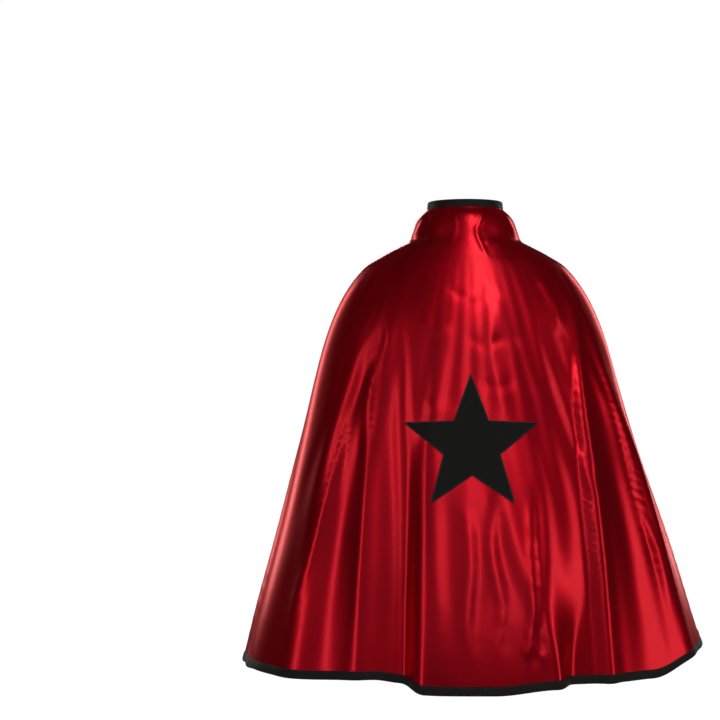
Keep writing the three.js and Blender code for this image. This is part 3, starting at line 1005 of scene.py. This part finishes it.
def drape_tree():
    """The draped cloth's middle surface, to lay emblems on."""
    rows, columns = drape["grid"].shape[:2]
    index = np.arange(rows * columns).reshape(rows, columns)
    quads = np.stack([index[:-1, :-1], index[1:, :-1], index[1:, 1:], index[:-1, 1:]], axis=-1).reshape(-1, 4)
    return BVHTree.FromPolygons(drape["grid"].reshape(-1, 3).tolist(), quads.tolist())


def lay_on_back(flat, offset):
    """Lays points given across and up from the emblem's middle on the back, offset metres out."""
    tree = drape["tree"]
    rows, columns = drape["grid"].shape[:2]
    placed = np.zeros((len(flat), 3))
    for k, (across, up) in enumerate(flat):
        start = Vector((across, -1.0, EMBLEM_HEIGHT + up))
        hit, normal, face, _ = tree.ray_cast(start, Vector((0, 1, 0)))
        if hit is None:
            raise RuntimeError("an emblem reaches past the back of the cape")
        row, column = divmod(face, columns - 1)
        corner = drape["normals"][row:row + 2, column:column + 2].reshape(4, 3).mean(axis=0)
        placed[k] = np.array(hit) + corner * offset[k]
    return placed


def flat_star(name, radius, waist, cuts):
    """A flat five-pointed star in the XZ plane, subdivided finely enough to drape."""
    deselect()
    bpy.ops.mesh.primitive_circle_add(vertices=10, radius=1, fill_type="TRIFAN")
    piece = bpy.context.object
    piece.name = name
    for vertex in piece.data.vertices:
        x, y = vertex.co.x, vertex.co.y
        if math.hypot(x, y) < 0.5:
            continue
        turn = math.atan2(x, y)
        tip = round(turn / (math.pi / 5)) % 2 == 0
        reach = radius if tip else radius * waist
        vertex.co = (reach * math.sin(turn), reach * math.cos(turn), 0)
    return subdivided(piece, cuts)


def flat_disc(name, radius, segments, cuts):
    deselect()
    bpy.ops.mesh.primitive_circle_add(vertices=segments, radius=radius, fill_type="TRIFAN")
    bpy.context.object.name = name
    return subdivided(bpy.context.object, cuts)


def flat_ring(name, outer, inner, segments, cuts):
    """A flat ring: a circle of edges drawn inwards."""
    deselect()
    bpy.ops.mesh.primitive_circle_add(vertices=segments, radius=outer, fill_type="NOTHING")
    piece = bpy.context.object
    piece.name = name
    bpy.ops.object.mode_set(mode="EDIT")
    bpy.ops.mesh.select_all(action="SELECT")
    bpy.ops.mesh.extrude_edges_move()
    share = inner / outer
    bpy.ops.transform.resize(value=(share, share, share), center_override=(0, 0, 0))
    bpy.ops.object.mode_set(mode="OBJECT")
    return subdivided(piece, cuts)


def subdivided(piece, cuts):
    edit_all(piece, bpy.ops.mesh.subdivide, number_cuts=cuts)
    return piece


def flat_points(piece):
    co = np.zeros(len(piece.data.vertices) * 3)
    piece.data.vertices.foreach_get("co", co)
    return co.reshape(-1, 3)[:, :2]


def lay_emblem(piece, face, offset, thickness, material, node_name):
    """Lays a flat piece on the back's red (1) or blue (-1) face and gives it thickness."""
    flat = flat_points(piece)
    placed = lay_on_back(flat, np.full(len(flat), face * offset))
    set_uv(piece, flat)
    piece.data.vertices.foreach_set("co", placed.reshape(-1))
    piece.data.update()
    recalculate_towards(piece, face)
    apply_modifier(piece, "SOLIDIFY", "Thickness", thickness=thickness, offset=1.0)
    smooth(piece, 40)
    dress(piece, get_material(material))
    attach(piece, ROOT)
    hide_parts(node_name)
    return piece


def recalculate_towards(piece, face):
    """Turns a single sheet's faces towards -Y for the red face, or +Y for the blue one."""
    recalculate(piece)
    if piece.data.polygons[0].normal.y * face > 0:
        edit_all(piece, bpy.ops.mesh.flip_normals)


def star_outline(radius, waist, step):
    """Points evenly along a star's outline, with each one's direction."""
    corners = []
    for k in range(10):
        turn = k * math.pi / 5
        reach = radius if k % 2 == 0 else radius * waist
        corners.append((reach * math.sin(turn), reach * math.cos(turn)))
    corners = np.array(corners + corners[:1])
    points, directions = [], []
    for a, b in zip(corners[:-1], corners[1:]):
        count = max(2, int(round(np.linalg.norm(b - a) / step)))
        for t in (np.arange(count) + 0.5) / count:
            points.append(a + (b - a) * t)
            directions.append((b - a) / np.linalg.norm(b - a))
    return np.array(points), np.array(directions)


class CAPE_OT_star(bpy.types.Operator):
    """Apply the star to the red face, with an overcast edge"""
    bl_idname = "cape.star"
    bl_label = "Star emblem"

    def execute(self, context):
        sizes = context.scene.cape_sizes
        star = flat_star("star_emblem_felt", sizes.star_radius, STAR_WAIST, 24)
        lay_emblem(star, 1, sizes.cloth_gap + 0.2 * MM, 0.7 * MM, "Black felt", "star_emblem")
        points, directions = star_outline(sizes.star_radius - 0.4 * MM, STAR_WAIST, OVERCAST_PITCH * MM)
        inward = np.stack([directions[:, 1], -directions[:, 0]], axis=1)
        base = sizes.cloth_gap + 0.95 * MM
        centre = lay_on_back(points, np.full(len(points), base))
        aside = lay_on_back(points + inward * MM, np.full(len(points), base))
        raised = lay_on_back(points, np.full(len(points), base + MM))
        edge = stitches("star_emblem_edge", centre, unit(aside - centre), unit(raised - centre),
                        "Black thread", length=OVERCAST_LENGTH, radius=OVERCAST_RADIUS)
        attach(edge, ROOT)
        return {"FINISHED"}


class CAPE_OT_badge(bpy.types.Operator):
    """Apply the round badge to the blue face: field, rim and star"""
    bl_idname = "cape.badge"
    bl_label = "Badge"

    def execute(self, context):
        sizes = context.scene.cape_sizes
        radius = sizes.badge_radius
        base = sizes.cloth_gap + 0.2 * MM
        field = flat_disc("badge_field_film", radius - 1 * MM, 96, 18)
        lay_emblem(field, -1, base, 0.25 * MM, "Yellow film", "badge_field")
        rim = flat_ring("badge_rim_foil", radius, radius - 10 * MM, 120, 3)
        lay_emblem(rim, -1, base + 0.32 * MM, 0.2 * MM, "Red foil", "badge_rim")
        star = flat_star("badge_star_foil", 0.69 * radius, STAR_WAIST, 18)
        lay_emblem(star, -1, base + 0.32 * MM, 0.2 * MM, "Red foil", "badge_star")
        return {"FINISHED"}


# ---- Closure, interfacing and label ----
TAB_TURN = (math.radians(196), math.radians(139))
TAB_HEIGHT = (15.5, 42.0)
PATCH_TURN = (math.radians(160), math.radians(142))
PATCH_HEIGHT = (18.5, 38.0)
TIP_WIDTH = 0.62     # width left at the tab's rounded tip, as a share


def collar_place(turn, height, out):
    """A place round the collar: turn from the centre back, height and distance out, millimetres."""
    rows = np.array(DRAPE_ROWS, float)[::-1]
    half_width = np.interp(height, rows[:, 2], rows[:, 0]) + out
    depth = np.interp(height, rows[:, 2], rows[:, 1]) + out
    return np.stack([half_width * np.sin(turn), -depth * np.cos(turn), height], axis=-1) * MM


def collar_patch(name, turns, heights, out, thickness, material, rounding=0.0):
    """A small cloth patch that follows the collar, with rounded corners at its second end."""
    u, v = np.meshgrid(np.linspace(0, 1, 41), np.linspace(0, 1, 21), indexing="ij")
    swell = 1
    if rounding:
        near_end = np.clip((u - (1 - rounding)) / rounding, 0, 1)
        swell = np.sqrt(np.clip(1 - near_end**2, 0, 1))
    swell = TIP_WIDTH + (1 - TIP_WIDTH) * swell
    middle = (heights[0] + heights[1]) / 2
    height = middle + (v - 0.5) * (heights[1] - heights[0]) * swell
    turn = turns[0] + (turns[1] - turns[0]) * u
    points = collar_place(turn, height, np.full(u.shape, out))
    uv = np.stack([u * 0.07, v * 0.027], axis=-1)
    piece = new_grid(name, points, uv)
    apply_modifier(piece, "SOLIDIFY", "Thickness", thickness=thickness * MM, offset=0.0)
    recalculate(piece)
    smooth(piece, 50)
    dress(piece, get_material(material))
    return piece


class CAPE_OT_closure(bpy.types.Operator):
    """Sew the closure tab and its hook and loop patches"""
    bl_idname = "cape.closure"
    bl_label = "Closure"

    def execute(self, context):
        tab = collar_patch("closure_tab_cloth", TAB_TURN, TAB_HEIGHT, 4.4, 1.1, "Red satin",
                           rounding=0.16)
        hooks = collar_patch("hook_patch_tape", PATCH_TURN, PATCH_HEIGHT, 3.2, 0.9, "Hook tape")
        loops = collar_patch("loop_patch_tape", PATCH_TURN, PATCH_HEIGHT, 1.9, 0.9, "Loop tape")
        for piece, node_name in ((tab, "closure_tab"), (hooks, "hook_patch")):
            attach(piece, "collar_tab")
            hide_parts(node_name)
        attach(loops, ROOT)
        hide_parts("loop_patch")
        return {"FINISHED"}


class CAPE_OT_inside(bpy.types.Operator):
    """Lay the interfacing in the collar and sew in the care label"""
    bl_idname = "cape.inside"
    bl_label = "Interfacing and label"

    def execute(self, context):
        seam = drape["seam_row"]
        stiff = cloth_piece("collar_interfacing_layer", (0.4, seam - 0.4), (1, COLUMNS - 1), 0.0,
                            context, "Interfacing")
        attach(stiff, ROOT)
        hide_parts("collar_interfacing")
        middle = COLUMNS / 2
        row, column = np.meshgrid(np.linspace(seam + 0.3, seam + 5.5, 25),
                                  np.linspace(middle - 9.5, middle + 9.5, 33), indexing="ij")
        hang = np.linspace(0, 1, 25)[:, None] * np.ones_like(column)
        points = cloth_at(row, column, -(context.scene.cape_sizes.cloth_gap + (0.5 + 3.0 * hang**1.5) * MM))
        uv = np.stack([(column - middle) * 0.0026, row * 0.0045], axis=-1)
        label = new_grid("care_label_tape", points, uv)
        apply_modifier(label, "SOLIDIFY", "Thickness", thickness=0.35 * MM, offset=0.0)
        smooth(label)
        dress(label, get_material("Label tape"))
        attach(label, ROOT)
        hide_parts("care_label")
        return {"FINISHED"}


class CAPE_OT_cloths(bpy.types.Operator):
    """An empty step: it changes nothing."""
    bl_idname = "cape.cloths"
    bl_label = "Cut sizes"

    def execute(self, context):
        return {"FINISHED"}


# ---- Stage ----
MIDDLE = (0, 0, -0.25)
WARM = (1, 0.93, 0.82)
LIGHTS = (   # name, place, target, size, watts and colour
    ("left_strip", (-1.7, -1.5, 0.0), MIDDLE, (0.13, 1.5), 5.9, WARM),
    ("right_strip", (1.9, -1.2, 0.1), MIDDLE, (0.13, 1.5), 7.2, WARM),
    ("top_softbox", (0.42, -1.6, 1.25), (0, 0, -0.1), (0.26, 0.8), 9.2, WARM),
    ("centre_strip", (0.38, -1.9, 0.5), (0, 0, -0.3), (0.08, 0.9), 2.6, WARM),
    ("camera_fill", (-0.5, -2.6, 0.5), MIDDLE, (2.2, 1.4), 3.0),
    ("front_left_fill", (-1.6, 1.9, 0.3), MIDDLE, (0.5, 1.6), 13),
    ("front_right_fill", (1.6, 1.9, 0.3), MIDDLE, (0.5, 1.6), 13),
    ("lining_fill", (0, 2.4, 0.1), MIDDLE, (0.9, 1.2), 26),
)
CAMERA_DISTANCE = 2.3
CAMERA_X = -0.147
CAMERA_HEIGHT = -0.16
CAMERA_LENS = 82.15


def area_light(name, place, target, size, energy, colour=(1, 1, 1)):
    deselect()
    bpy.ops.object.light_add(type="AREA", location=place)
    light = bpy.context.object
    light.name = name
    light.data.shape = "RECTANGLE"
    light.data.size, light.data.size_y = size
    light.data.energy = energy
    light.data.color = colour
    light.rotation_euler = (Vector(target) - Vector(place)).to_track_quat("-Z", "Y").to_euler()


class CAPE_OT_stage(bpy.types.Operator):
    """Set the floor, lights and camera"""
    bl_idname = "cape.stage"
    bl_label = "Stage"

    def execute(self, context):
        scene = context.scene
        deselect()
        bpy.ops.mesh.primitive_plane_add(size=30, location=(0, 0, -0.9))
        floor = context.object
        floor.name = "floor"
        material, tree, shader = material_base("Pale floor")
        shader.inputs["Base Color"].default_value = (0.6, 0.6, 0.6, 1)
        shader.inputs["Roughness"].default_value = 0.9
        lit = tree.nodes.new("ShaderNodeEmission")
        lit.inputs["Strength"].default_value = 1.08
        seen = tree.nodes.new("ShaderNodeLightPath")
        both = tree.nodes.new("ShaderNodeMixShader")
        share = math_node(tree, "MULTIPLY", seen.outputs["Is Camera Ray"], 0.94)
        tree.links.new(share, both.inputs["Fac"])
        tree.links.new(shader.outputs[0], both.inputs[1])
        tree.links.new(lit.outputs[0], both.inputs[2])
        tree.links.new(both.outputs[0], tree.nodes["Material Output"].inputs["Surface"])
        floor.data.materials.append(material)

        world = bpy.data.worlds.new("Studio")
        scene.world = world
        world.use_nodes = True
        tree = world.node_tree
        background = tree.nodes["Background"]
        seen = tree.nodes.new("ShaderNodeBackground")
        seen.inputs["Color"].default_value = (1, 1, 1, 1)
        seen.inputs["Strength"].default_value = 1.0
        background.inputs["Color"].default_value = (0.9, 0.93, 1.0, 1)
        background.inputs["Strength"].default_value = 0.03
        path = tree.nodes.new("ShaderNodeLightPath")
        mix = tree.nodes.new("ShaderNodeMixShader")
        tree.links.new(path.outputs["Is Camera Ray"], mix.inputs["Fac"])
        tree.links.new(background.outputs[0], mix.inputs[1])
        tree.links.new(seen.outputs[0], mix.inputs[2])
        tree.links.new(mix.outputs[0], tree.nodes["World Output"].inputs["Surface"])

        for light in LIGHTS:
            area_light(*light)
        scene.view_settings.view_transform = "Standard"

        camera = bpy.data.cameras.new("Camera")
        camera.lens = CAMERA_LENS
        camera.sensor_width = 36
        holder = bpy.data.objects.new("Camera", camera)
        scene.collection.objects.link(holder)
        holder.location = (CAMERA_X, -CAMERA_DISTANCE, CAMERA_HEIGHT)
        holder.rotation_euler = (math.radians(90), 0, 0)
        scene.camera = holder
        return {"FINISHED"}


class CAPE_PT_panel(bpy.types.Panel):
    """The cape's pieces in the sidebar"""
    bl_idname = "CAPE_PT_panel"
    bl_label = "Reversible cape"
    bl_space_type = "VIEW_3D"
    bl_region_type = "UI"
    bl_category = "Cape"

    def draw(self, context):
        for operator in OPERATORS:
            self.layout.operator(operator.bl_idname)


OPERATORS = (
    CAPE_OT_materials, CAPE_OT_drape, CAPE_OT_red_face, CAPE_OT_blue_face, CAPE_OT_binding, CAPE_OT_star,
    CAPE_OT_badge, CAPE_OT_closure, CAPE_OT_inside, CAPE_OT_cloths, CAPE_OT_stage,
)
CLASSES = (CapeColours, CapeSizes, *OPERATORS, CAPE_PT_panel)


def register():
    for each in CLASSES:
        bpy.utils.register_class(each)
    bpy.types.Scene.cape_colours = bpy.props.PointerProperty(type=CapeColours)
    bpy.types.Scene.cape_sizes = bpy.props.PointerProperty(type=CapeSizes)


def unregister():
    del bpy.types.Scene.cape_sizes
    del bpy.types.Scene.cape_colours
    for each in reversed(CLASSES):
        bpy.utils.unregister_class(each)


def main():
    register()
    bpy.ops.cape.materials()
    bpy.ops.cape.drape()
    bpy.ops.cape.red_face()
    bpy.ops.cape.blue_face()
    bpy.ops.cape.binding()
    bpy.ops.cape.star()
    bpy.ops.cape.badge()
    bpy.ops.cape.closure()
    bpy.ops.cape.inside()
    bpy.ops.cape.cloths()
    bpy.ops.cape.stage()


if __name__ == "__main__":
    main()
